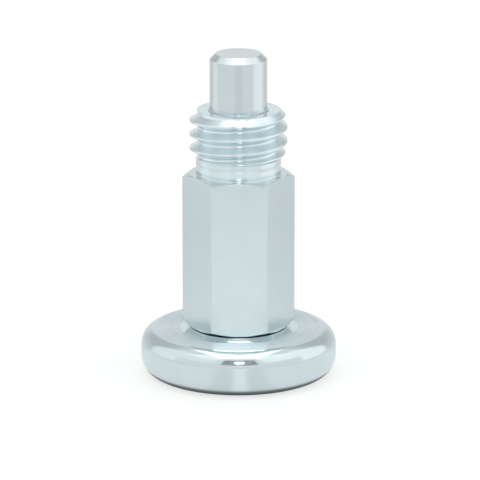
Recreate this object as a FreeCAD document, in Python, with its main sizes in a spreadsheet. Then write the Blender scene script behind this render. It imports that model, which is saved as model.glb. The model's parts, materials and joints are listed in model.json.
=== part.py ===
"""Indexing plunger: a spring-loaded locating pin in a hexagon sleeve with an M12 nose, pulled back by a disc knob.

The axis is Z. The origin is at the centre of the knob's underside and the pin points up. Millimetres.
"""

import FreeCAD, Part
import math
import os

import Sketcher

os.makedirs("parts", exist_ok=True)
doc = FreeCAD.newDocument("indexing_plunger")


# Driving dimensions

SIZES = (
    ("knob_diameter", 24.0),
    ("knob_thickness", 5.7),
    ("knob_top_round", 2.0),
    ("knob_bottom_round", 2.2),
    ("hub_diameter", 12.1),
    ("hub_height", 0.3),
    ("hub_sweep", 2.5),
    ("rest_gap", 0.12),
    ("hex_flats", 11.9),
    ("hex_length", 19.2),
    ("hex_edge_round", 0.15),
    ("hex_chamfer_angle", 30.0),
    ("neck_diameter", 10.4),
    ("neck_length", 2.0),
    ("thread_diameter", 11.95),
    ("thread_chamfer", 0.85),
    ("thread_pitch", 1.75),
    ("thread_depth", 1.07),
    ("thread_flank_angle", 30.0),
    ("thread_runout", 0.15),
    ("nose_length", 7.9),
    ("pin_diameter", 7.0),
    ("pin_reach", 7.0),
    ("pin_chamfer", 0.7),
    ("guide_clearance", 0.03),
    ("guide_lead", 0.25),
    ("stop_wall", 1.0),
    ("chamber_wall", 1.35),
    ("collar_clearance", 0.2),
    ("collar_length", 2.3),
    ("stem_diameter", 5.0),
    ("stem_clearance", 0.05),
    ("stud_diameter", 4.0),
    ("stud_length", 4.0),
    ("stud_chamfer", 0.4),
    ("stud_end_gap", 0.3),
    ("drill_point_angle", 118.0),
    ("bush_wall", 0.95),
    ("bush_length", 2.6),
    ("bush_recess", 0.4),
    ("bush_chamfer", 0.3),
    ("wire_diameter", 0.7),
    ("open_turns", 4),
    ("closed_turn_gap", 0.05),
)

sheet = doc.addObject("Spreadsheet::Sheet", "Sizes")
for row, (alias, size) in enumerate(SIZES, start=1):
    sheet.set(f"A{row}", alias)
    sheet.set(f"B{row}", str(size))
    sheet.setAlias(f"B{row}", alias)
doc.recompute()


# Radii, and heights that stack up from the knob's underside

KNOB_R = "(Sizes.knob_diameter / 2)"
HUB_R = "(Sizes.hub_diameter / 2)"
FLAT_R = "(Sizes.hex_flats / 2)"
CORNER_R = f"({FLAT_R} / cos(30))"
NECK_R = "(Sizes.neck_diameter / 2)"
THREAD_R = "(Sizes.thread_diameter / 2)"
PIN_R = "(Sizes.pin_diameter / 2)"
GUIDE_R = f"({PIN_R} + Sizes.guide_clearance)"
CHAMBER_R = f"({FLAT_R} - Sizes.chamber_wall)"
COLLAR_R = f"({CHAMBER_R} - Sizes.collar_clearance)"
STEM_R = "(Sizes.stem_diameter / 2)"
STUD_R = "(Sizes.stud_diameter / 2)"
BUSH_R = f"({FLAT_R} - Sizes.bush_wall)"
COIL_R = f"(({CHAMBER_R} + {STEM_R}) / 2)"

FLANGE_TOP = "Sizes.knob_thickness"
HUB_TOP = f"({FLANGE_TOP} + Sizes.hub_height)"
HEX_BASE = f"({HUB_TOP} + Sizes.rest_gap)"
SHOULDER = f"({HEX_BASE} + Sizes.hex_length)"
THREAD_START = f"({SHOULDER} + Sizes.neck_length)"
NOSE_FACE = f"({SHOULDER} + Sizes.nose_length)"
PIN_TIP = f"({NOSE_FACE} + Sizes.pin_reach)"
BUSH_REAR = f"({HEX_BASE} + Sizes.bush_recess)"
BUSH_FRONT = f"({BUSH_REAR} + Sizes.bush_length)"
STOP_FACE = f"({SHOULDER} - Sizes.stop_wall)"
COLLAR_REAR = f"({STOP_FACE} - Sizes.collar_length)"
STUD_END = f"({HUB_TOP} - Sizes.stud_length)"
HOLE_END = f"({STUD_END} - Sizes.stud_end_gap)"


def value(expression):
    """What an expression over the sheet's aliases comes to."""
    return float(sheet.evalExpression(expression))


# Sketches and features

def new_body(name):
    body = doc.addObject("PartDesign::Body", name)
    body.Label = name
    return body


def sketch_on(body, plane, name):
    """An empty sketch on one of the body's own origin planes."""
    sketch = body.newObject("Sketcher::SketchObject", name)
    support = next(item for item in body.Origin.OriginFeatures if item.Role == plane)
    sketch.AttachmentSupport = [(support, "")]
    sketch.MapMode = "FlatFace"
    return sketch


def hold(sketch, kind, *target, to):
    """Add one dimension to the sketch and bind it to an expression."""
    index = sketch.addConstraint(Sketcher.Constraint(kind, *target, value(to)))
    sketch.setExpression(f"Constraints[{index}]", to)


def place_point(sketch, edge, end, across, up):
    """Hold one end of an edge at its distances from the sketch's two axes; 0 puts it on the axis."""
    for kind, axis, distance in (("DistanceX", -2, across), ("DistanceY", -1, up)):
        if distance == "0":
            sketch.addConstraint(Sketcher.Constraint("PointOnObject", edge, end, axis))
        else:
            hold(sketch, kind, -1, 1, edge, end, to=distance)


def outline(body, name, corners, plane="XZ_Plane"):
    """A closed outline of straight lines, each corner as (distance from the axis, height)."""
    sketch = sketch_on(body, plane, name)
    points = [FreeCAD.Vector(value(across), value(up), 0) for across, up in corners]
    count = len(points)
    for i, point in enumerate(points):
        sketch.addGeometry(Part.LineSegment(point, points[(i + 1) % count]))
    for i in range(count):
        sketch.addConstraint(Sketcher.Constraint("Coincident", i, 2, (i + 1) % count, 1))
    for i, (across, up) in enumerate(corners):
        place_point(sketch, i, 1, across, up)
    return sketch


def turned(body, kind, name, sketch):
    """A full turn of a sketch about the axis: PartDesign::Revolution adds it, PartDesign::Groove cuts it."""
    feature = body.newObject(kind, name)
    feature.Profile = sketch
    feature.ReferenceAxis = (sketch, ["V_Axis"])
    feature.Angle = 360
    sketch.Visibility = False
    doc.recompute()
    return feature


def edges_of(feature, wanted):
    """Names of the edges that a test picks out."""
    return [f"Edge{i}" for i, edge in enumerate(feature.Shape.Edges, start=1) if wanted(edge)]


def rounded(body, name, feature, edges, radius):
    fillet = body.newObject("PartDesign::Fillet", name)
    fillet.Base = (feature, edges)
    fillet.setExpression("Radius", radius)
    doc.recompute()
    return fillet


def is_rim(radius, height):
    """A test for the circular edge of this radius at this height."""
    def test(edge):
        curve = edge.Curve
        return (
            isinstance(curve, Part.Circle)
            and math.isclose(curve.Radius, value(radius), abs_tol=1e-6)
            and math.isclose(curve.Center.z, value(height), abs_tol=1e-6)
        )
    return test


def is_upright(edge):
    """A test for a straight edge along the axis."""
    return isinstance(edge.Curve, Part.Line) and abs(edge.tangentAt(edge.FirstParameter).z) > 0.999


# Knob: a turned disc with rounded edges, whose low hub sweeps up to a land under the hexagon

def make_knob():
    body = new_body("knob")
    disc = turned(body, "PartDesign::Revolution", "disc", outline(body, "disc_section", (
        ("0", "0"),
        (KNOB_R, "0"),
        (KNOB_R, FLANGE_TOP),
        ("0", FLANGE_TOP),
    )))
    top = rounded(body, "top_round", disc, edges_of(disc, is_rim(KNOB_R, FLANGE_TOP)), "Sizes.knob_top_round")
    bottom = rounded(body, "bottom_round", top, edges_of(top, is_rim(KNOB_R, "0")), "Sizes.knob_bottom_round")

    hub = turned(body, "PartDesign::Revolution", "hub", hub_outline(body))

    turned(body, "PartDesign::Groove", "tapped_hole", outline(body, "hole_section", (
        ("0", HUB_TOP),
        (STUD_R, HUB_TOP),
        (STUD_R, HOLE_END),
        ("0", f"({HOLE_END} - {STUD_R} / tan(Sizes.drill_point_angle / 2))"),
    )))
    return body


def hub_outline(body):
    """The hub's half section: its land, and a hollow arc that meets the disc's flat top at a tangent."""
    sweep = "Sizes.hub_sweep"
    foot = f"({HUB_R} + sqrt(2 * {sweep} * Sizes.hub_height - Sizes.hub_height ^ 2))"
    centre = FreeCAD.Vector(value(foot), value(f"{FLANGE_TOP} + {sweep}"), 0)
    land_edge = FreeCAD.Vector(value(HUB_R), value(HUB_TOP), 0)
    start = math.atan2(land_edge.y - centre.y, land_edge.x - centre.x)
    sketch = sketch_on(body, "XZ_Plane", "hub_section")
    inner_top = FreeCAD.Vector(0, value(HUB_TOP), 0)
    inner_foot = FreeCAD.Vector(0, value(FLANGE_TOP), 0)
    outer_foot = FreeCAD.Vector(value(foot), value(FLANGE_TOP), 0)
    sketch.addGeometry(Part.LineSegment(inner_top, land_edge))
    full = Part.Circle(centre, FreeCAD.Vector(0, 0, 1), value(sweep))
    sketch.addGeometry(Part.ArcOfCircle(full, start, -math.pi / 2))
    sketch.addGeometry(Part.LineSegment(outer_foot, inner_foot))
    sketch.addGeometry(Part.LineSegment(inner_foot, inner_top))
    sketch.addConstraint(Sketcher.Constraint("Coincident", 0, 2, 1, 1))
    sketch.addConstraint(Sketcher.Constraint("Tangent", 1, 2, 2, 1))
    sketch.addConstraint(Sketcher.Constraint("Coincident", 2, 2, 3, 1))
    sketch.addConstraint(Sketcher.Constraint("Coincident", 3, 2, 0, 1))
    sketch.addConstraint(Sketcher.Constraint("Horizontal", 2))
    hold(sketch, "Radius", 1, to=sweep)
    place_point(sketch, 0, 1, "0", HUB_TOP)
    place_point(sketch, 0, 2, HUB_R, HUB_TOP)
    place_point(sketch, 3, 1, "0", FLANGE_TOP)
    return sketch


# Locating pin: pin, collar, stem and threaded stud turned in one piece

def make_locating_pin():
    body = new_body("locating_pin")
    turned(body, "PartDesign::Revolution", "turning", outline(body, "section", (
        ("0", STUD_END),
        (f"({STUD_R} - Sizes.stud_chamfer)", STUD_END),
        (STUD_R, f"({STUD_END} + Sizes.stud_chamfer)"),
        (STUD_R, HUB_TOP),
        (STEM_R, HUB_TOP),
        (STEM_R, COLLAR_REAR),
        (COLLAR_R, COLLAR_REAR),
        (COLLAR_R, STOP_FACE),
        (PIN_R, STOP_FACE),
        (PIN_R, f"({PIN_TIP} - Sizes.pin_chamfer)"),
        (f"({PIN_R} - Sizes.pin_chamfer)", PIN_TIP),
        ("0", PIN_TIP),
    )))
    return body


# Body: a length of hexagon bar chamfered at both ends, with a turned neck and nose, bored right through

def make_body():
    body = new_body("body")
    bar = body.newObject("PartDesign::Pad", "hexagon_bar")
    bar.Profile = hexagon(body)
    bar.setExpression("Length", "Sizes.hex_length")
    doc.recompute()
    rounded(body, "edge_round", bar, edges_of(bar, is_upright), "Sizes.hex_edge_round")

    drop = f"(({CORNER_R} - {FLAT_R}) * tan(Sizes.hex_chamfer_angle))"
    for name, end, inward in (
        ("rear_chamfer", HEX_BASE, f"({HEX_BASE} + {drop})"),
        ("front_chamfer", SHOULDER, f"({SHOULDER} - {drop})"),
    ):
        turned(body, "PartDesign::Groove", name, outline(body, f"{name}_section", (
            (FLAT_R, end),
            (CORNER_R, end),
            (CORNER_R, inward),
        )))

    turned(body, "PartDesign::Revolution", "nose", outline(body, "nose_section", (
        ("0", SHOULDER),
        (NECK_R, SHOULDER),
        (NECK_R, THREAD_START),
        (THREAD_R, f"({THREAD_START} + {THREAD_R} - {NECK_R})"),
        (THREAD_R, f"({NOSE_FACE} - Sizes.thread_chamfer)"),
        (f"({THREAD_R} - Sizes.thread_chamfer)", NOSE_FACE),
        ("0", NOSE_FACE),
    )))
    cut_thread(body)
    turned(body, "PartDesign::Groove", "bore", outline(body, "bore_section", (
        ("0", HEX_BASE),
        (BUSH_R, HEX_BASE),
        (BUSH_R, BUSH_FRONT),
        (CHAMBER_R, BUSH_FRONT),
        (CHAMBER_R, STOP_FACE),
        (GUIDE_R, STOP_FACE),
        (GUIDE_R, f"({NOSE_FACE} - Sizes.guide_lead)"),
        (f"({GUIDE_R} + Sizes.guide_lead)", NOSE_FACE),
        ("0", NOSE_FACE),
    )))
    return body


def hexagon(body):
    """The bar's section, with two corners on the X axis and a flat facing -Y, held by its corner circle."""
    sketch = sketch_on(body, "XY_Plane", "bar_section")
    sketch.setExpression("AttachmentOffset.Base.z", HEX_BASE)
    reach = value(CORNER_R)
    sides = 6
    corners = [
        FreeCAD.Vector(reach * math.cos(turn), reach * math.sin(turn), 0)
        for turn in (math.tau * i / sides for i in range(sides))
    ]
    for i in range(sides):
        sketch.addGeometry(Part.LineSegment(corners[i], corners[(i + 1) % sides]))
    ring = sketch.addGeometry(Part.Circle(FreeCAD.Vector(), FreeCAD.Vector(0, 0, 1), reach), True)
    sketch.addConstraint(Sketcher.Constraint("Coincident", ring, 3, -1, 1))
    hold(sketch, "Radius", ring, to=CORNER_R)
    for i in range(sides):
        sketch.addConstraint(Sketcher.Constraint("Coincident", i, 2, (i + 1) % sides, 1))
        sketch.addConstraint(Sketcher.Constraint("PointOnObject", i, 1, ring))
    for i in range(1, sides):
        sketch.addConstraint(Sketcher.Constraint("Equal", 0, i))
    sketch.addConstraint(Sketcher.Constraint("PointOnObject", 0, 1, -1))
    sketch.Visibility = False
    doc.recompute()
    return sketch


def cut_thread(body):
    """The thread's groove, carried round from a run-out scar in the back of the neck until it leaves the face."""
    crest_flat = "(Sizes.thread_pitch / 8)"
    slope = "tan(Sizes.thread_flank_angle)"
    half_mouth = f"((Sizes.thread_pitch - {crest_flat}) / 2)"
    half_root = f"({half_mouth} - Sizes.thread_depth * {slope})"
    clear = f"({crest_flat} / 2)"
    start = f"({THREAD_START} - Sizes.thread_runout)"
    half_open = f"({half_mouth} + {clear} * {slope})"
    groove = outline(body, "thread_section", (
        (f"({THREAD_R} - Sizes.thread_depth)", f"({start} - {half_root})"),
        (f"({THREAD_R} + {clear})", f"({start} - {half_open})"),
        (f"({THREAD_R} + {clear})", f"({start} + {half_open})"),
        (f"({THREAD_R} - Sizes.thread_depth)", f"({start} + {half_root})"),
    ), plane="YZ_Plane")
    thread = body.newObject("PartDesign::SubtractiveHelix", "thread")
    thread.Profile = groove
    thread.ReferenceAxis = (groove, ["V_Axis"])
    thread.Mode = "pitch-height-angle"
    thread.setExpression("Pitch", "Sizes.thread_pitch")
    thread.setExpression("Height", f"{NOSE_FACE} + Sizes.thread_pitch / 2 - {start}")
    groove.Visibility = False
    doc.recompute()


# End bush: a plain ring pressed in behind the spring, which guides the stem

def make_end_bush():
    body = new_body("end_bush")
    bore = f"({STEM_R} + Sizes.stem_clearance)"
    turned(body, "PartDesign::Revolution", "ring", outline(body, "section", (
        (bore, BUSH_REAR),
        (BUSH_R, BUSH_REAR),
        (BUSH_R, f"({BUSH_FRONT} - Sizes.bush_chamfer)"),
        (f"({BUSH_R} - Sizes.bush_chamfer)", BUSH_FRONT),
        (bore, BUSH_FRONT),
    )))
    return body


# Spring: a closed turn, the open turns and another closed turn of one wire, both ends ground flat

WIRE_FLATS = 6

def wire_section(coil, across_flats, height):
    """The wire's section at the start of a turn. Its round is drawn as flats that touch the real circle."""
    half_step = math.pi / WIRE_FLATS
    reach = across_flats / 2 / math.cos(half_step)
    corners = [
        FreeCAD.Vector(coil + reach * math.cos(turn), 0, height + reach * math.sin(turn))
        for turn in (half_step * (2 * i + 1) for i in range(WIRE_FLATS))
    ]
    return Part.makePolygon(corners + corners[:1])


def make_spring():
    coil = value(COIL_R)
    wire = value("Sizes.wire_diameter")
    bottom = value(BUSH_FRONT)
    top = value(COLLAR_REAR)
    closed = wire + value("Sizes.closed_turn_gap")
    open_height = top - bottom - 2 * closed
    runs = (
        (bottom, closed, closed),
        (bottom + closed, open_height / value("Sizes.open_turns"), open_height),
        (top - closed, closed, closed),
    )
    sides = []
    for start, pitch, height in runs:
        path = Part.makeHelix(pitch, height, coil)
        path.translate(FreeCAD.Vector(0, 0, start))
        sides += path.makePipeShell([wire_section(coil, wire, start)], False, True).Faces
    ends = [Part.Face(wire_section(coil, wire, height)) for height in (bottom, top)]
    coils = Part.Solid(Part.Shell(sides + ends))

    slab = Part.makeCylinder(coil + wire, top - bottom, FreeCAD.Vector(0, 0, bottom))
    spring = doc.addObject("Part::Feature", "spring")
    spring.Label = "spring"
    spring.Shape = coils.common(slab)
    return spring


# Build, test and write each piece

CUTS = ("PartDesign::Groove", "PartDesign::SubtractiveHelix")

pieces = [make_body(), make_end_bush(), make_spring(), make_locating_pin(), make_knob()]
doc.recompute()

for item in doc.Objects:
    if {"Invalid", "Error"} & set(item.State):
        raise RuntimeError(f"{item.Label} failed: {item.State}")
    if item.TypeId in CUTS and not item.Shape.Volume < item.BaseFeature.Shape.Volume:
        raise RuntimeError(f"{item.Label} cuts nothing")

for piece in pieces:
    shape = piece.Shape
    if shape.isNull() or not shape.isValid() or len(shape.Solids) != 1:
        raise RuntimeError(f"{piece.Label} is not one sound solid")

for piece in pieces:
    piece.Shape.exportStep(f"parts/{piece.Label}.step")
    box = piece.Shape.BoundBox
    print(f"{piece.Label}: z {box.ZMin:.2f} to {box.ZMax:.2f}, {piece.Shape.Volume:.1f} mm3")
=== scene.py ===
# Indexing plunger: zinc-plated body and knob, ground pin, and the spring and bush inside, on a pale floor.
# Outlines and sizes are in millimetres. Materials, floor and light are in metres and degrees.

import json
import math

import bmesh
import bpy
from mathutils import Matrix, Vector


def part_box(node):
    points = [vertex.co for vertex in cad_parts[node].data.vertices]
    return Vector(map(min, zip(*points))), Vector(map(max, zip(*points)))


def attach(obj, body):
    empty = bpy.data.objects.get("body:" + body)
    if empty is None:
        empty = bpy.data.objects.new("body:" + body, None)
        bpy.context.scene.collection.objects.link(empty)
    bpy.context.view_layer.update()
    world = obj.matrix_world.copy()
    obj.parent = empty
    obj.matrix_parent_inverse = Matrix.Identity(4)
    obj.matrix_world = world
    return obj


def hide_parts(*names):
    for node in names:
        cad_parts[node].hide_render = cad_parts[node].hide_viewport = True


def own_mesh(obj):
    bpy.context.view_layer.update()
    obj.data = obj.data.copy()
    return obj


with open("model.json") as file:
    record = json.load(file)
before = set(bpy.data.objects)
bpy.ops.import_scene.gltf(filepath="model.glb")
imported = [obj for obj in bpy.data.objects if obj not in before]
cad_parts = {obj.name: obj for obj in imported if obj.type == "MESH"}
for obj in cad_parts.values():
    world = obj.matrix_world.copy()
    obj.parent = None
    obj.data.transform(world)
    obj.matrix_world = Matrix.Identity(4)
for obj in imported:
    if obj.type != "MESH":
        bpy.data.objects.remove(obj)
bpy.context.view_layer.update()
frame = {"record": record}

MM = 0.001


# Sizes read from the frame

def span(node):
    """(largest radius along X, lowest height, highest height) of a CAD node, in millimetres."""
    low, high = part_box(node)
    return high[0] / MM, low[2] / MM, high[2] / MM


KNOB_R, KNOB_BASE, HUB_TOP = span("knob")
_, HEX_BASE, NOSE_FACE = span("body")
FLAT_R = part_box("body")[1][1] / MM
BUSH_R, BUSH_REAR, BUSH_FRONT = span("end_bush")
COLLAR_R, STUD_END, PIN_TIP = span("locating_pin")
_, SPRING_REAR, SPRING_FRONT = span("spring")
mounts = {mount["name"]: mount for mount in frame["record"]["mounts"]}
THREAD_R = mounts["thread_stud"]["dims"]["r_mm"]
PIN_R = mounts["locating_pin_end"]["dims"]["r_mm"]
SHOULDER = mounts["shoulder"]["pos_m"][2] / MM

# Knob sizes

HUB_HEIGHT = 0.3
FLANGE_TOP = HUB_TOP - HUB_HEIGHT
HUB_R = 6.05
HUB_SWEEP = 2.5
KNOB_TOP_ROUND = 2.0
KNOB_BOTTOM_ROUND = 2.2
UNDERSIDE_LOOPS = (0.0, 0.5, 0.9, 0.995)

# Body sizes

HALF_SIDE = math.radians(30)
HEX_EDGE_ROUND = 0.15
CHAMFER_ANGLE = math.radians(30)
END_FACE_R = FLAT_R - 0.3
NECK_R = 5.2
NECK_LENGTH = 2.0
NECK_FILLET = 0.15
THREAD_START = SHOULDER + NECK_LENGTH
NOSE_CHAMFER = 0.85
GUIDE_CLEARANCE = 0.03
GUIDE_R = PIN_R + GUIDE_CLEARANCE
GUIDE_LEAD = 0.25
CHAMBER_WALL = 1.35
CHAMBER_R = FLAT_R - CHAMBER_WALL
STOP_WALL = 1.0
STOP_FACE = SHOULDER - STOP_WALL

# Thread: M12 with a pitch of 1.75, right-hand. The groove comes in at the neck between two angles, in whole
# turns, and the skin follows it from the low height to the high one.

PITCH = 1.75
THREAD_DEPTH = 1.07
FLANK = math.radians(30)
CREST_ROUND = 0.05
THREAD_RUNOUT = 0.15
FIRST_GROOVE = THREAD_START - THREAD_RUNOUT - PITCH / 4
FADE_IN = (0.12, 0.42)
THREAD_LOW = THREAD_START - 0.6
THREAD_HIGH = NOSE_FACE - 0.15
GROOVE_ROUNDS = 7

# Pin, bush and spring sizes. The spring ends a hair short of the collar, so that their faces don't coincide.

PIN_CHAMFER = 0.7
STEM_R = 2.5
STUD_R = 2.0
STUD_CHAMFER = 0.4
STUD_END_GAP = 0.3
HOLE_FLOOR = STUD_END - STUD_END_GAP
DRILL_HALF_ANGLE = math.radians(59)
STEM_CLEARANCE = 0.05
BUSH_BORE_R = STEM_R + STEM_CLEARANCE
BUSH_CHAMFER = 0.3
WIRE_R = 0.35
COIL_R = (CHAMBER_R + STEM_R) / 2
OPEN_TURNS = 4
CLOSED_GAP = 0.05
CLOSED_PITCH = 2 * WIRE_R + CLOSED_GAP
SPRING_SEAT = 0.01

# The rounding of a broken edge, and how far off the tight loops lie that hold a flat beside a rounding. The
# shares are the most that a rounding, its loops and the chamfer's loops take of a short run.

EDGE = 0.06
SUPPORT = 0.02
RUN_SHARE = 0.4
LOOP_SHARE = 0.2
SLOPE_SHARE = 0.3


# Outlines: lists of (radius, height) in millimetres

def arc(centre, radius, start, end, steps):
    """Points on a circular arc, angles in degrees from the outward radius."""
    turns = (math.radians(start + (end - start) * i / steps) for i in range(steps + 1))
    return [(centre[0] + radius * math.cos(turn), centre[1] + radius * math.sin(turn)) for turn in turns]


def eased(corners, closed=False, steps=4):
    """The outline through corners of (radius, height, rounding), with tight loops beside each rounding."""
    count = len(corners)
    points = []
    for i, (across, up, rounding) in enumerate(corners):
        if rounding == 0 or (not closed and i in (0, count - 1)):
            points.append((across, up))
            continue
        here = Vector((across, up))
        before = Vector(corners[i - 1][:2]) - here
        after = Vector(corners[(i + 1) % count][:2]) - here
        half = before.angle(after) / 2
        reach = min(rounding / math.tan(half), RUN_SHARE * before.length, RUN_SHARE * after.length)
        radius = reach * math.tan(half)
        before.normalize()
        after.normalize()
        centre = here + (before + after).normalized() * (radius / math.sin(half))
        start = here + before * reach
        end = here + after * reach
        loop = min(SUPPORT, LOOP_SHARE * reach)
        points.append(tuple(start + before * loop))
        sweep = math.pi - 2 * half
        for step in range(steps + 1):
            turn = sweep * step / steps
            spoke = (start - centre) * math.sin(sweep - turn) + (end - centre) * math.sin(turn)
            points.append(tuple(centre + spoke / math.sin(sweep)))
        points.append(tuple(end + after * loop))
    return points


# Meshes. Points nearer to each other than this, in metres, are one point.

WELD = 2e-7


def mesh_object(name, verts, faces):
    """A smooth mesh from millimetre points. Points that fall together are welded, and faces turned out."""
    mesh = bpy.data.meshes.new(name)
    mesh.from_pydata([(x * MM, y * MM, z * MM) for x, y, z in verts], [], faces)
    skin = bmesh.new()
    skin.from_mesh(mesh)
    bmesh.ops.remove_doubles(skin, verts=skin.verts, dist=WELD)
    bmesh.ops.dissolve_degenerate(skin, edges=skin.edges, dist=WELD)
    bmesh.ops.recalc_face_normals(skin, faces=skin.faces)
    skin.to_mesh(mesh)
    skin.free()
    mesh.shade_smooth()
    obj = bpy.data.objects.new(name, mesh)
    bpy.context.scene.collection.objects.link(obj)
    return obj


def skin_over(name, angles, columns, closed):
    """A skin over columns of (radius, height) points, one at each angle, going once round the axis."""
    rows = len(columns[0])
    verts = []
    for angle, column in zip(angles, columns):
        verts += [(r * math.cos(angle), r * math.sin(angle), z) for r, z in column]
    faces = []
    last = rows if closed else rows - 1
    for i in range(len(columns) - 1):
        a = i * rows
        b = a + rows
        faces += [(a + j, b + j, b + (j + 1) % rows, a + (j + 1) % rows) for j in range(last)]
    return mesh_object(name, verts, faces)


def turned(name, outline, closed=False, segments=256):
    """An outline turned once round the axis."""
    angles = [math.tau * i / segments for i in range(segments + 1)]
    return skin_over(name, angles, [outline] * (segments + 1), closed)


# Knob: a disc with a rounded rim, a low swept hub and the stud's hole

def make_knob(round_steps=32, sweep_steps=10):
    foot = HUB_R + math.sqrt(2 * HUB_SWEEP * HUB_HEIGHT - HUB_HEIGHT ** 2)
    sweep = (foot, FLANGE_TOP + HUB_SWEEP)
    land = math.degrees(math.atan2(HUB_TOP - sweep[1], HUB_R - foot))
    bottom = (KNOB_R - KNOB_BOTTOM_ROUND, KNOB_BASE + KNOB_BOTTOM_ROUND)
    top = (KNOB_R - KNOB_TOP_ROUND, FLANGE_TOP - KNOB_TOP_ROUND)
    outline = [(bottom[0] * share, KNOB_BASE) for share in UNDERSIDE_LOOPS]
    outline += arc(bottom, KNOB_BOTTOM_ROUND, -90, 0, round_steps)
    outline += arc(top, KNOB_TOP_ROUND, 0, 90, round_steps)
    outline += [(top[0] - SUPPORT, FLANGE_TOP), (foot + SUPPORT, FLANGE_TOP)]
    outline += arc(sweep, HUB_SWEEP, -90, land, sweep_steps)
    outline += eased([
        (HUB_R, HUB_TOP, 0),
        (STUD_R, HUB_TOP, EDGE),
        (STUD_R, HOLE_FLOOR, 0),
    ])[1:]
    outline.append((0.0, HOLE_FLOOR - STUD_R / math.tan(DRILL_HALF_ANGLE)))
    return turned("knob_disc", outline)


# Locating pin: tip, collar, stem and stud

def make_pin():
    outline = eased([
        (0.0, STUD_END, 0),
        (STUD_R - STUD_CHAMFER, STUD_END, EDGE),
        (STUD_R, STUD_END + STUD_CHAMFER, EDGE),
        (STUD_R, HUB_TOP, 0),
        (STEM_R, HUB_TOP, EDGE),
        (STEM_R, SPRING_FRONT, EDGE),
        (COLLAR_R, SPRING_FRONT, EDGE),
        (COLLAR_R, STOP_FACE, EDGE),
        (PIN_R, STOP_FACE, EDGE),
        (PIN_R, PIN_TIP - PIN_CHAMFER, EDGE),
        (PIN_R - PIN_CHAMFER, PIN_TIP, EDGE),
        (0.0, PIN_TIP, 0),
    ])
    return turned("pin_turned", outline)


# End bush: the ring that closes the spring's chamber and guides the stem

def make_bush():
    outline = eased([
        (BUSH_BORE_R, BUSH_REAR + BUSH_CHAMFER, EDGE),
        (BUSH_BORE_R + BUSH_CHAMFER, BUSH_REAR, EDGE),
        (BUSH_R, BUSH_REAR, EDGE),
        (BUSH_R, BUSH_FRONT, EDGE),
        (BUSH_BORE_R, BUSH_FRONT, EDGE),
    ], closed=True)
    return turned("bush_ring", outline, closed=True)


# Body: hexagon, neck, threaded nose and bore, as one skin

def hexagon_angles(flat_steps=16, corner_steps=6):
    """Column angles: even steps across the flats, with a tight pair and close steps round each corner."""
    centre = (FLAT_R - HEX_EDGE_ROUND) / math.cos(HALF_SIDE)
    tangent = centre * math.sin(HALF_SIDE)
    half = [math.atan2(tangent * i / flat_steps, FLAT_R) for i in range(flat_steps)]
    half.append(math.atan2(tangent - SUPPORT, FLAT_R))
    for i in range(corner_steps + 1):
        turn = HALF_SIDE * i / corner_steps
        across = tangent + HEX_EDGE_ROUND * math.sin(turn)
        along = centre * math.cos(HALF_SIDE) + HEX_EDGE_ROUND * math.cos(turn)
        half.append(math.atan2(across, along))
    sector = half + [2 * HALF_SIDE - angle for angle in reversed(half[:-1])]
    angles = [HALF_SIDE * (1 + 2 * flat) + angle for flat in range(6) for angle in sector[:-1]]
    return angles + [angles[0] + math.tau]


def hexagon_radius(angle):
    """The distance from the axis to the hexagon's side at this angle."""
    off = abs(angle % (2 * HALF_SIDE) - HALF_SIDE)
    centre = (FLAT_R - HEX_EDGE_ROUND) / math.cos(HALF_SIDE)
    if off <= math.atan2(centre * math.sin(HALF_SIDE), FLAT_R):
        return FLAT_R / math.cos(off)
    across = centre * math.sin(HALF_SIDE - off)
    return centre * math.cos(HALF_SIDE - off) + math.sqrt(HEX_EDGE_ROUND ** 2 - across ** 2)


def chamfered_end(side, face, way, steps=4):
    """From the hexagon's side over the chamfer to its end face. way is 1 at the top and -1 below."""
    cone = math.sin(CHAMFER_ANGLE)
    lower = (side - EDGE, -(EDGE + (side - EDGE - FLAT_R) * cone) / math.cos(CHAMFER_ANGLE))
    upper = (FLAT_R - EDGE * math.tan(CHAMFER_ANGLE / 2), -EDGE)
    if upper[0] >= lower[0]:
        lower = upper = (side - EDGE, -EDGE)
    slope = 90 - math.degrees(CHAMFER_ANGLE)
    first = arc(lower, EDGE, 0, slope, steps)
    second = arc(upper, EDGE, slope, 90, steps)
    run = Vector(second[0]) - Vector(first[-1])
    step = run * (min(SUPPORT / run.length, SLOPE_SHARE) if run.length > SUPPORT else SLOPE_SHARE)
    points = [(first[0][0], first[0][1] - SUPPORT)] + first
    points += [tuple(Vector(first[-1]) + step), tuple(Vector(second[0]) - step)]
    points += second + [(second[-1][0] - SUPPORT, second[-1][1])]
    return [(r, face + way * z) for r, z in points]


def groove_outline(root_steps=5, flank_steps=9, crest_steps=3):
    """One pitch of the thread from one groove's middle to the next, as (height, radius)."""
    mouth = PITCH * 7 / 16  # half the groove's width, which leaves the crest an eighth of the pitch
    apex = THREAD_R - mouth / math.tan(FLANK)
    root_round = THREAD_R - THREAD_DEPTH - apex
    centre = apex + root_round / math.sin(FLANK)
    swing = math.pi / 2 - FLANK
    half = []
    for i in range(root_steps + 1):
        turn = swing * i / root_steps
        half.append((root_round * math.sin(turn), centre - root_round * math.cos(turn)))
    tangent = CREST_ROUND * math.tan(swing / 2)
    foot = Vector(half[-1])
    head = Vector((mouth - tangent * math.sin(FLANK), THREAD_R - tangent * math.cos(FLANK)))
    half += [tuple(foot.lerp(head, i / flank_steps)) for i in range(1, flank_steps + 1)]
    for i in range(1, crest_steps + 1):
        turn = swing * (1 - i / crest_steps)
        across = mouth + tangent - CREST_ROUND * math.sin(turn)
        half.append((across, THREAD_R - CREST_ROUND * (1 - math.cos(turn))))
    half.append((PITCH / 2, THREAD_R))
    return half + [(PITCH - z, r) for z, r in reversed(half[1:-1])]


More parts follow.
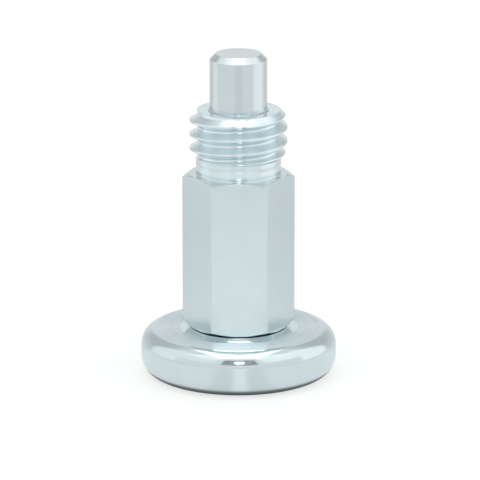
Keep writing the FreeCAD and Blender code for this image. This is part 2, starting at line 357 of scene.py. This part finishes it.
def blank_radius(height):
    """The turned nose's radius before the thread is cut."""
    rise = NECK_R + max(height - THREAD_START, 0)
    fall = THREAD_R - (height - (NOSE_FACE - NOSE_CHAMFER))
    return min(rise, THREAD_R, fall)


def cut_radius(turn, height, groove):
    """The radius that the thread's cutter leaves at this height, turn being the angle in whole turns."""
    pitches = (height - FIRST_GROOVE) / PITCH - turn
    z = (pitches - math.floor(pitches)) * PITCH
    for (z0, r0), (z1, r1) in zip(groove, groove[1:] + [(PITCH, groove[0][1])]):
        if z <= z1:
            break
    r = r0 + (r1 - r0) * (z - z0) / (z1 - z0)
    along = turn + math.floor(pitches + 0.5)
    share = min(max((along - FADE_IN[0]) / (FADE_IN[1] - FADE_IN[0]), 0), 1)
    return THREAD_R - (THREAD_R - r) * share


def thread_column(turn, groove):
    """The nose's skin at this angle from the neck to just under the face, its rows following the groove."""
    points = []
    start = math.floor((THREAD_LOW - FIRST_GROOVE) / PITCH) - 2
    for k in range(start, start + GROOVE_ROUNDS):
        for z, _ in groove:
            height = min(max(FIRST_GROOVE + PITCH * (turn + k) + z, THREAD_LOW), THREAD_HIGH)
            points.append((min(blank_radius(height), cut_radius(turn, height, groove)), height))
    return points


def make_body(fillet_steps=5):
    groove = groove_outline()
    rear = eased([
        (BUSH_R, BUSH_FRONT, 0),
        (BUSH_R, HEX_BASE, EDGE),
        (END_FACE_R, HEX_BASE, 0),
    ])
    neck = [(END_FACE_R, SHOULDER), (NECK_R + NECK_FILLET + SUPPORT, SHOULDER)]
    neck += arc((NECK_R + NECK_FILLET, SHOULDER + NECK_FILLET), NECK_FILLET, 270, 180, fillet_steps)
    neck.append((NECK_R, SHOULDER + NECK_FILLET + SUPPORT))
    angles = hexagon_angles()
    columns = []
    for angle in angles:
        side = hexagon_radius(angle)
        nose = thread_column(angle / math.tau, groove)
        inside = eased([
            (*nose[-1], 0),
            (min(THREAD_R - NOSE_CHAMFER, nose[-1][0]), NOSE_FACE, EDGE),
            (GUIDE_R + GUIDE_LEAD, NOSE_FACE, EDGE),
            (GUIDE_R, NOSE_FACE - GUIDE_LEAD, EDGE),
            (GUIDE_R, STOP_FACE, EDGE),
            (CHAMBER_R, STOP_FACE, EDGE),
            (CHAMBER_R, BUSH_FRONT, EDGE),
            (BUSH_R, BUSH_FRONT, 0),
        ])
        columns.append(
            rear + chamfered_end(side, HEX_BASE, -1)[::-1]
            + chamfered_end(side, SHOULDER, 1) + neck + nose + inside[1:-1]
        )
    return skin_over("body_turned", angles, columns, closed=True)


# Spring: round wire, a closed turn at each end ground flat

def make_spring(sides=20, per_turn=72):
    open_height = SPRING_FRONT - SPRING_REAR - 2 * CLOSED_PITCH
    turns = OPEN_TURNS + 2
    rings = turns * per_turn
    verts = []
    for i in range(rings + 1):
        turn = turns * i / rings
        closed = min(turn, 1) + max(turn - 1 - OPEN_TURNS, 0)
        opened = min(max(turn - 1, 0), OPEN_TURNS) / OPEN_TURNS
        middle = SPRING_REAR + closed * CLOSED_PITCH + opened * open_height
        angle = math.tau * turn
        for side in range(sides):
            lean = math.tau * side / sides
            r = COIL_R + WIRE_R * math.cos(lean)
            z = min(max(middle + WIRE_R * math.sin(lean), SPRING_REAR), SPRING_FRONT - SPRING_SEAT)
            verts.append((r * math.cos(angle), r * math.sin(angle), z))
    faces = []
    for i in range(rings):
        a = i * sides
        b = a + sides
        faces += [(a + j, a + (j + 1) % sides, b + (j + 1) % sides, b + j) for j in range(sides)]
    faces += [tuple(range(sides)), tuple(range(rings * sides, (rings + 1) * sides))]
    return mesh_object("spring_wire", verts, faces)


# Node trees

NOISE_REACH = (0.3, 0.7)
MICRON = 0.000001


class Nodes:
    """Short calls for wiring a node tree. A value is a number or another node's output."""

    def __init__(self, tree):
        self.tree = tree

    def add(self, kind, **settings):
        node = self.tree.nodes.new(kind)
        for name, setting in settings.items():
            setattr(node, name, setting)
        return node

    def feed(self, socket, value):
        if isinstance(value, bpy.types.NodeSocket):
            self.tree.links.new(value, socket)
        else:
            socket.default_value = value

    def math(self, operation, *values):
        node = self.add("ShaderNodeMath", operation=operation)
        for socket, value in zip(node.inputs, values):
            self.feed(socket, value)
        return node.outputs[0]

    def times(self, first, second):
        return self.math("MULTIPLY", first, second)

    def ramp(self, value, low, high, start=0.0, end=1.0):
        """The value's run from low to high mapped smoothly on to start to end, and held beyond it."""
        node = self.add("ShaderNodeMapRange", interpolation_type="SMOOTHSTEP")
        names = ("Value", "From Min", "From Max", "To Min", "To Max")
        for name, number in zip(names, (value, low, high, start, end)):
            self.feed(node.inputs[name], number)
        return node.outputs["Result"]

    def between(self, value, low, high, soft):
        """1 where the value lies between low and high and 0 outside, over soft edges."""
        rising = self.ramp(value, low - soft, low + soft)
        return self.times(rising, self.ramp(value, high - soft, high + soft, 1.0, 0.0))

    def toward(self, value, goal, share):
        """The value moved by a share of the way to a goal."""
        node = self.add("ShaderNodeMix", data_type="FLOAT")
        for name, number in (("Factor", share), ("A", value), ("B", goal)):
            self.feed(node.inputs[name], number)
        return node.outputs["Result"]

    def blend(self, share, first, second):
        """One colour turned into another by a share."""
        node = self.add("ShaderNodeMix", data_type="RGBA")
        sockets = {socket.identifier: socket for socket in node.inputs}
        self.feed(sockets["Factor_Float"], share)
        self.feed(sockets["A_Color"], first)
        self.feed(sockets["B_Color"], second)
        return next(out for out in node.outputs if out.identifier == "Result_Color")

    def tint(self, noise, first, second):
        """Two colours mixed by a noise, the whole way from one to the other."""
        return self.blend(self.ramp(noise, *NOISE_REACH), (*first, 1), (*second, 1))

    def split(self, vector):
        """The three parts of a vector."""
        node = self.add("ShaderNodeSeparateXYZ")
        self.feed(node.inputs[0], vector)
        return node.outputs

    def distance(self, x, y):
        """The distance from the axis."""
        return self.math("SQRT", self.math("ADD", self.times(x, x), self.times(y, y)))

    def bearing(self, x, y):
        """Degrees round the axis from the front, positive to the right."""
        return self.math("DEGREES", self.math("ARCTAN2", x, self.times(y, -1.0)))

    def polar(self):
        """The distance from the object's axis and the height, in metres."""
        x, y, height = self.split(self.add("ShaderNodeTexCoord").outputs["Object"])
        return self.distance(x, y), height

    def grain(self, vector, scale, detail):
        """Noise at the place that the vector gives, its scale in features a metre."""
        texture = self.add("ShaderNodeTexNoise")
        texture.inputs["Scale"].default_value = scale
        texture.inputs["Detail"].default_value = detail
        self.feed(texture.inputs["Vector"], vector)
        return texture.outputs["Fac"]

    def noise(self, scale, stretch=(1, 1, 1), detail=4.0):
        """Noise over the object's own space, stretched by the three factors."""
        mapping = self.add("ShaderNodeMapping")
        mapping.inputs["Scale"].default_value = stretch
        self.feed(mapping.inputs["Vector"], self.add("ShaderNodeTexCoord").outputs["Object"])
        return self.grain(mapping.outputs["Vector"], scale, detail)

    def rings(self, scale, detail=3.0):
        """Noise that is the same all round the axis, like the rings that a lathe tool leaves."""
        radius, height = self.polar()
        profile = self.add("ShaderNodeCombineXYZ")
        self.feed(profile.inputs[0], radius)
        self.feed(profile.inputs[2], height)
        return self.grain(profile.outputs[0], scale, detail)

    def bump(self, height):
        """The normal on a relief whose height is in thousandths of a millimetre."""
        node = self.add("ShaderNodeBump")
        node.inputs["Distance"].default_value = MICRON
        self.feed(node.inputs["Height"], height)
        return node.outputs["Normal"]


# Materials: each metal's colour and the shade that it is mottled with

ZINC = (0.66, 0.73, 0.745)
ZINC_SHADE = (0.645, 0.715, 0.73)
# Painted sheen on turned faces: a paler tone and its second tone, standing in for the light these faces
# catch
TURNED_SHEEN = (0.78, 0.855, 0.88)
TURNED_SHEEN_SHADE = (0.70, 0.785, 0.815)
PIN = (0.675, 0.725, 0.735)
PIN_SHADE = (0.655, 0.705, 0.715)
BUSH = (0.55, 0.56, 0.56)
BUSH_SHADE = (0.5, 0.51, 0.51)
WIRE = (0.42, 0.42, 0.41)
WIRE_SHADE = (0.36, 0.36, 0.35)

# Where one finish runs into the next: heights on the body and radii on the knob, in metres. The neck's band
# ends with the softness of its edges.

TURNED_END = (0.0253, 0.0256)
NECK_BAND = (0.0257, 0.0273, 0.0002)
SWEEP_FOOT = (0.0069, 0.0074)
RIM_START = (0.01, 0.0104)

# Patterns: scales in features a metre, and depths in thousandths of a millimetre

MOTTLE = 420
GLOSS_PATCH = 900
GLOSS_RANGE = (0.92, 1.1)
BAR_MARK = 2500
ALONG_BAR = (1, 1, 0.08)
TOOL_MARK = 2600
NOSE_DEPTH = 25.0
NECK_DEPTH = 85.0
STREAK = 0.9
QUARTER_TURN = 0.25


def metal(name, colour, shade, finish, streak=0.0):
    """A metal mottled with two colours.

    finish(nodes) gives a dict: the roughness, the relief in thousandths of a millimetre and, for a metal
    with painted sheen on its turned faces, the share of that paler tone (sheen_share) and the pattern of its
    two colours.
    streak is how far the rings of a turned surface draw its highlights out across them.
    """
    material = bpy.data.materials.new(name)
    material.use_nodes = True
    nodes = Nodes(material.node_tree)
    shader = material.node_tree.nodes["Principled BSDF"]
    shader.inputs["Metallic"].default_value = 1.0
    mottled = nodes.tint(nodes.noise(MOTTLE, detail=5.0), colour, shade)
    surface = finish(nodes)
    # painted sheen: a paler tone over the turned faces, standing in for the light they catch
    if "sheen_share" in surface:
        sheen_colour = nodes.tint(surface["pattern"], TURNED_SHEEN, TURNED_SHEEN_SHADE)
        mottled = nodes.blend(surface["sheen_share"], mottled, sheen_colour)
    nodes.feed(shader.inputs["Base Color"], mottled)
    patchy = nodes.ramp(nodes.noise(GLOSS_PATCH, detail=3.0), *NOISE_REACH, *GLOSS_RANGE)
    nodes.feed(shader.inputs["Roughness"], nodes.times(surface["roughness"], patchy))
    nodes.feed(shader.inputs["Normal"], nodes.bump(surface["relief"]))
    shader.inputs["Anisotropic"].default_value = streak
    shader.inputs["Anisotropic Rotation"].default_value = QUARTER_TURN
    tangent = nodes.add("ShaderNodeTangent", direction_type="RADIAL", axis="Z")
    nodes.feed(shader.inputs["Tangent"], tangent.outputs[0])
    return material


def body_finish(nodes):
    """Drawn flats with marks along the bar, and a turned nose with rings, deepest on the neck."""
    _, height = nodes.polar()
    lathe = nodes.ramp(height, *TURNED_END)
    drawn = nodes.times(nodes.noise(BAR_MARK, ALONG_BAR, detail=3.0), 0.4)
    depth = nodes.toward(NOSE_DEPTH, NECK_DEPTH, nodes.between(height, *NECK_BAND))
    ringed = nodes.times(nodes.rings(TOOL_MARK, detail=0.0), depth)
    return dict(
        roughness=nodes.toward(0.16, 0.18, lathe),
        relief=nodes.toward(drawn, ringed, lathe),
        # painted sheen over the turned nose
        sheen_share=lathe,
        pattern=nodes.rings(TOOL_MARK, detail=1.0),
    )


def knob_finish(nodes):
    """Satin faces with fine rings, and a bright hub sweep and rim."""
    radius, _ = nodes.polar()
    rim = nodes.ramp(radius, *RIM_START)
    satin = nodes.ramp(radius, *SWEEP_FOOT, 0.13, 0.4)
    ringed = nodes.times(nodes.rings(5000, detail=1.0), 0.7)
    cloudy = nodes.times(nodes.noise(1500), 0.2)
    return dict(
        roughness=nodes.toward(satin, 0.09, rim),
        relief=nodes.toward(ringed, cloudy, rim),
        # painted sheen over the knob's faces inside the rim
        sheen_share=nodes.ramp(radius, *RIM_START, 0.65, 0.0),
        pattern=nodes.rings(TOOL_MARK, detail=1.0),
    )


def pin_finish(nodes):
    return dict(roughness=0.15, relief=nodes.times(nodes.rings(9000), 0.25))


def bush_finish(nodes):
    return dict(roughness=0.25, relief=nodes.times(nodes.rings(5000), 2.0))


def wire_finish(nodes):
    return dict(roughness=0.3, relief=nodes.times(nodes.noise(5000), 3.0))


body_zinc = metal("body_zinc", ZINC, ZINC_SHADE, body_finish, streak=STREAK)
knob_zinc = metal("knob_zinc", ZINC, ZINC_SHADE, knob_finish, streak=STREAK)
pin_steel = metal("pin_steel", PIN, PIN_SHADE, pin_finish)
bush_steel = metal("bush_steel", BUSH, BUSH_SHADE, bush_finish)
spring_steel = metal("spring_wire", WIRE, WIRE_SHADE, wire_finish)


# Pieces

def place(obj, node, body, material):
    obj.data.materials.append(material)
    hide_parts(node)
    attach(obj, body)


place(make_body(), "body", "body", body_zinc)
place(make_bush(), "end_bush", "body", bush_steel)
place(make_pin(), "locating_pin", "plunger", pin_steel)
place(make_knob(), "knob", "plunger", knob_zinc)
spring = make_spring()
place(spring, "spring", "body", spring_steel)
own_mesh(spring)


# Stage: a pale floor that keeps the object's shadow, lifted to white for the camera, with painted light and
# shade for the metal's reflections.
# It stays under the knob as the body is lifted off it, and is clear from below. Under the tent its paper
# shows at the paper level.

FLOOR_HALF = 3.0
FLOOR_GAP = 0.00003
PAPER = 0.3
PAPER_LEVEL = 0.32
COOL = (0.962, 1.0, 1.01)
WHITE = (1, 1, 1, 1)

# Painted light and shade: how bright each part of the floor is in a reflection, where 1 is white

NEAR_LANE = 1.01
NEAR_BESIDE = 0.85
NEAR_SIDE = 0.94
NEAR_REAR = 0.79
NEAR_SHADE = 0.8
FAR_LANE = 0.8
FAR_FRONT = 0.89
FAR_RIGHT = 1.1
FAR_LEFT = 0.99
FAR_REAR = 0.76
SHADOW_UNDER_RIM = 0.35
LIGHT_UNDER_FLAT = 0.85


def make_floor():
    mesh = bpy.data.meshes.new("floor")
    corners = ((-1, -1), (1, -1), (1, 1), (-1, 1))
    verts = [(FLOOR_HALF * right, FLOOR_HALF * back, -FLOOR_GAP) for right, back in corners]
    mesh.from_pydata(verts, [], [(0, 1, 2, 3)])
    floor = bpy.data.objects.new("floor", mesh)
    bpy.context.scene.collection.objects.link(floor)
    material = bpy.data.materials.new("floor_paper")
    material.use_nodes = True
    nodes = Nodes(material.node_tree)
    material.node_tree.nodes.clear()
    geometry = nodes.add("ShaderNodeNewGeometry").outputs
    x, y, _ = nodes.split(geometry["Position"])
    side = nodes.bearing(x, y)
    azimuth = nodes.math("ABSOLUTE", side)
    reach = nodes.distance(x, y)

    # close in, painted light and shade: bright in front, a shade darker beside that, a band of painted shade
    # on each side, and dim behind
    lane = nodes.ramp(reach, 0.03, 0.045, 2, 7)
    near = nodes.ramp(azimuth, lane, nodes.math("ADD", lane, 6.5), NEAR_LANE, NEAR_BESIDE)
    near = nodes.toward(near, NEAR_SIDE, nodes.ramp(azimuth, 16, 28))
    near = nodes.toward(near, NEAR_REAR, nodes.ramp(azimuth, 100, 125))
    near = nodes.times(near, nodes.ramp(reach, 0.035, 0.09, 1.03, 0.98))
    # painted shade: a darker band on each side, 42 to 78 mm out
    band = nodes.times(nodes.between(azimuth, 46, 88, 14), nodes.between(reach, 0.042, 0.078, 0.014))
    near = nodes.toward(near, NEAR_SHADE, band)

    # further out, painted light and shade: a strip of light on each side, the right one brighter, and a
    # darker lane in front
    far = nodes.ramp(azimuth, 9, 17, FAR_LANE, FAR_FRONT)
    far = nodes.toward(far, FAR_RIGHT, nodes.between(side, 62, 110, 5))
    far = nodes.toward(far, FAR_LEFT, nodes.between(side, -120, -92, 5))
    far = nodes.toward(far, FAR_REAR, nodes.ramp(azimuth, 120, 130))
    lit = nodes.toward(near, far, nodes.ramp(reach, 0.106, 0.118))

    # under the knob: a painted shadow below its rounded rim, and painted light again below its flat
    lit = nodes.toward(SHADOW_UNDER_RIM, lit, nodes.ramp(reach, 0.0112, 0.0121))
    lit = nodes.toward(LIGHT_UNDER_FLAT, lit, nodes.ramp(reach, 0.0098, 0.0104))

    # the paper, and a glow that brings it to these levels in a reflection and to white for the camera
    seen = nodes.add("ShaderNodeLightPath").outputs
    paper = nodes.add("ShaderNodeBsdfDiffuse")
    paper.inputs["Color"].default_value = (PAPER, PAPER, PAPER, 1)
    glow = nodes.add("ShaderNodeEmission")
    mirrored = nodes.times(seen["Is Glossy Ray"], nodes.math("SUBTRACT", lit, PAPER_LEVEL))
    mirrored = nodes.math("MAXIMUM", mirrored, 0.0)
    lift = nodes.times(seen["Is Camera Ray"], 1 - PAPER)
    nodes.feed(glow.inputs["Strength"], nodes.math("ADD", mirrored, lift))
    nodes.feed(glow.inputs["Color"], nodes.blend(seen["Is Camera Ray"], (*COOL, 1), WHITE))
    both = nodes.add("ShaderNodeAddShader")
    nodes.feed(both.inputs[0], paper.outputs[0])
    nodes.feed(both.inputs[1], glow.outputs[0])
    sheet = nodes.add("ShaderNodeMixShader")
    nodes.feed(sheet.inputs[0], nodes.times(seen["Is Camera Ray"], geometry["Backfacing"]))
    nodes.feed(sheet.inputs[1], both.outputs[0])
    nodes.feed(sheet.inputs[2], nodes.add("ShaderNodeBsdfTransparent").outputs[0])
    nodes.feed(nodes.add("ShaderNodeOutputMaterial").inputs["Surface"], sheet.outputs[0])
    mesh.materials.append(material)
    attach(floor, "plunger")


make_floor()


# Light: a white tent, with a bright panel overhead, a panel on each side and a dim opening at the front.
# These are its levels, where 1 is white.

WALL_FRONT = 0.93
WALL_BACK = 0.74
WALL_REAR = 0.86
WALL_DIM = 0.63
WALL_HIGH = 0.9
PANEL_LEFT = 1.07
PANEL_RIGHT = 1.2
PANEL_TOP = 1.27
OVERHEAD = 1.7
GEAR = (0.12, 0.7)
LAMP = 5.2
STRIP = 1.3


def make_surround():
    world = bpy.data.worlds.new("tent")
    bpy.context.scene.world = world
    world.use_nodes = True
    nodes = Nodes(world.node_tree)
    x, y, z = nodes.split(nodes.add("ShaderNodeTexCoord").outputs["Generated"])
    front = nodes.times(y, -1.0)
    side = nodes.bearing(x, y)
    azimuth = nodes.math("ABSOLUTE", side)
    elevation = nodes.math("DEGREES", nodes.math("ARCSINE", z))

    # the walls: paler in front, dim behind each side, lighter again right behind and high up at the back
    light = nodes.ramp(azimuth, 100, 135, WALL_FRONT, WALL_BACK)
    light = nodes.toward(light, WALL_REAR, nodes.ramp(azimuth, 155, 172))
    dim = nodes.times(nodes.between(azimuth, 126, 164, 7), nodes.between(elevation, 14, 46, 7))
    light = nodes.toward(light, WALL_DIM, dim)
    above = nodes.times(nodes.ramp(azimuth, 105, 125), nodes.ramp(elevation, 47, 56))
    light = nodes.toward(light, WALL_HIGH, above)

    # the panel on each side, the right one brighter, and paler again towards the top
    high = nodes.times(nodes.between(azimuth, 32, 122, 8), nodes.between(elevation, 28, 58, 5))
    low = nodes.times(nodes.between(azimuth, 80, 124, 6), nodes.between(elevation, -2, 30, 6))
    panel = nodes.ramp(side, -20, 20, PANEL_LEFT, PANEL_RIGHT)
    light = nodes.toward(light, panel, nodes.math("MAXIMUM", high, low))
    crown = nodes.times(nodes.between(azimuth, 31, 98, 8), nodes.ramp(elevation, 48, 57))
    light = nodes.toward(light, PANEL_TOP, crown)

    # the panel overhead, flat as seen from below
    rise = nodes.math("MAXIMUM", z, 0.02)
    across = nodes.between(nodes.math("DIVIDE", x, rise), -0.32, 0.32, 0.04)
    along = nodes.between(nodes.math("DIVIDE", front, rise), -0.72, 0.44, 0.05)
    light = nodes.toward(light, OVERHEAD, nodes.times(across, along))

    # the opening in front, with dark gear behind it, a small lamp in it and a strip of light below it
    opening = nodes.times(nodes.ramp(azimuth, 20, 25, 1.0, 0.0), nodes.between(elevation, 20, 54, 3))
    light = nodes.toward(light, nodes.ramp(nodes.noise(24, detail=2.0), 0.42, 0.58, *GEAR), opening)
    lamp = nodes.times(nodes.ramp(azimuth, 4, 8, 1.0, 0.0), nodes.between(elevation, 31, 43, 2))
    light = nodes.toward(light, LAMP, lamp)
    strip = nodes.times(nodes.ramp(azimuth, 2, 5, 1.0, 0.0), nodes.between(elevation, 13, 17.5, 1))
    light = nodes.toward(light, STRIP, strip)

    # plain white where the camera sees it
    seen = nodes.add("ShaderNodeLightPath")
    clear = nodes.math("MAXIMUM", seen.outputs["Is Camera Ray"], seen.outputs["Is Transmission Ray"])
    background = world.node_tree.nodes["Background"]
    nodes.feed(background.inputs["Color"], nodes.blend(clear, (*COOL, 1), WHITE))
    nodes.feed(background.inputs["Strength"], nodes.toward(light, 1.0, clear))


make_surround()


# Camera: long lens, a little above the knob, near the hexagon's front face. Lengths are in millimetres.

CAMERA_AZIMUTH = math.radians(-91)
CAMERA_ELEVATION = math.radians(15.511)
CAMERA_ROLL = math.radians(-0.051)
CAMERA_DISTANCE = 490.5
TARGET_HEIGHT = 16.69


def make_camera():
    away = Vector((
        math.cos(CAMERA_ELEVATION) * math.cos(CAMERA_AZIMUTH),
        math.cos(CAMERA_ELEVATION) * math.sin(CAMERA_AZIMUTH),
        math.sin(CAMERA_ELEVATION),
    ))
    data = bpy.data.cameras.new("camera")
    data.lens = 300
    data.sensor_width = 36
    data.shift_x = 0.00304
    data.shift_y = 0.00104
    data.clip_start = 0.01
    camera = bpy.data.objects.new("camera", data)
    camera.location = Vector((0, 0, TARGET_HEIGHT)) * MM + away * CAMERA_DISTANCE * MM
    camera.rotation_euler = (-away).to_track_quat("-Z", "Y").to_euler()
    camera.rotation_euler.rotate_axis("Z", CAMERA_ROLL)
    bpy.context.scene.collection.objects.link(camera)
    bpy.context.scene.camera = camera


make_camera()

bpy.context.scene.view_settings.view_transform = "Standard"
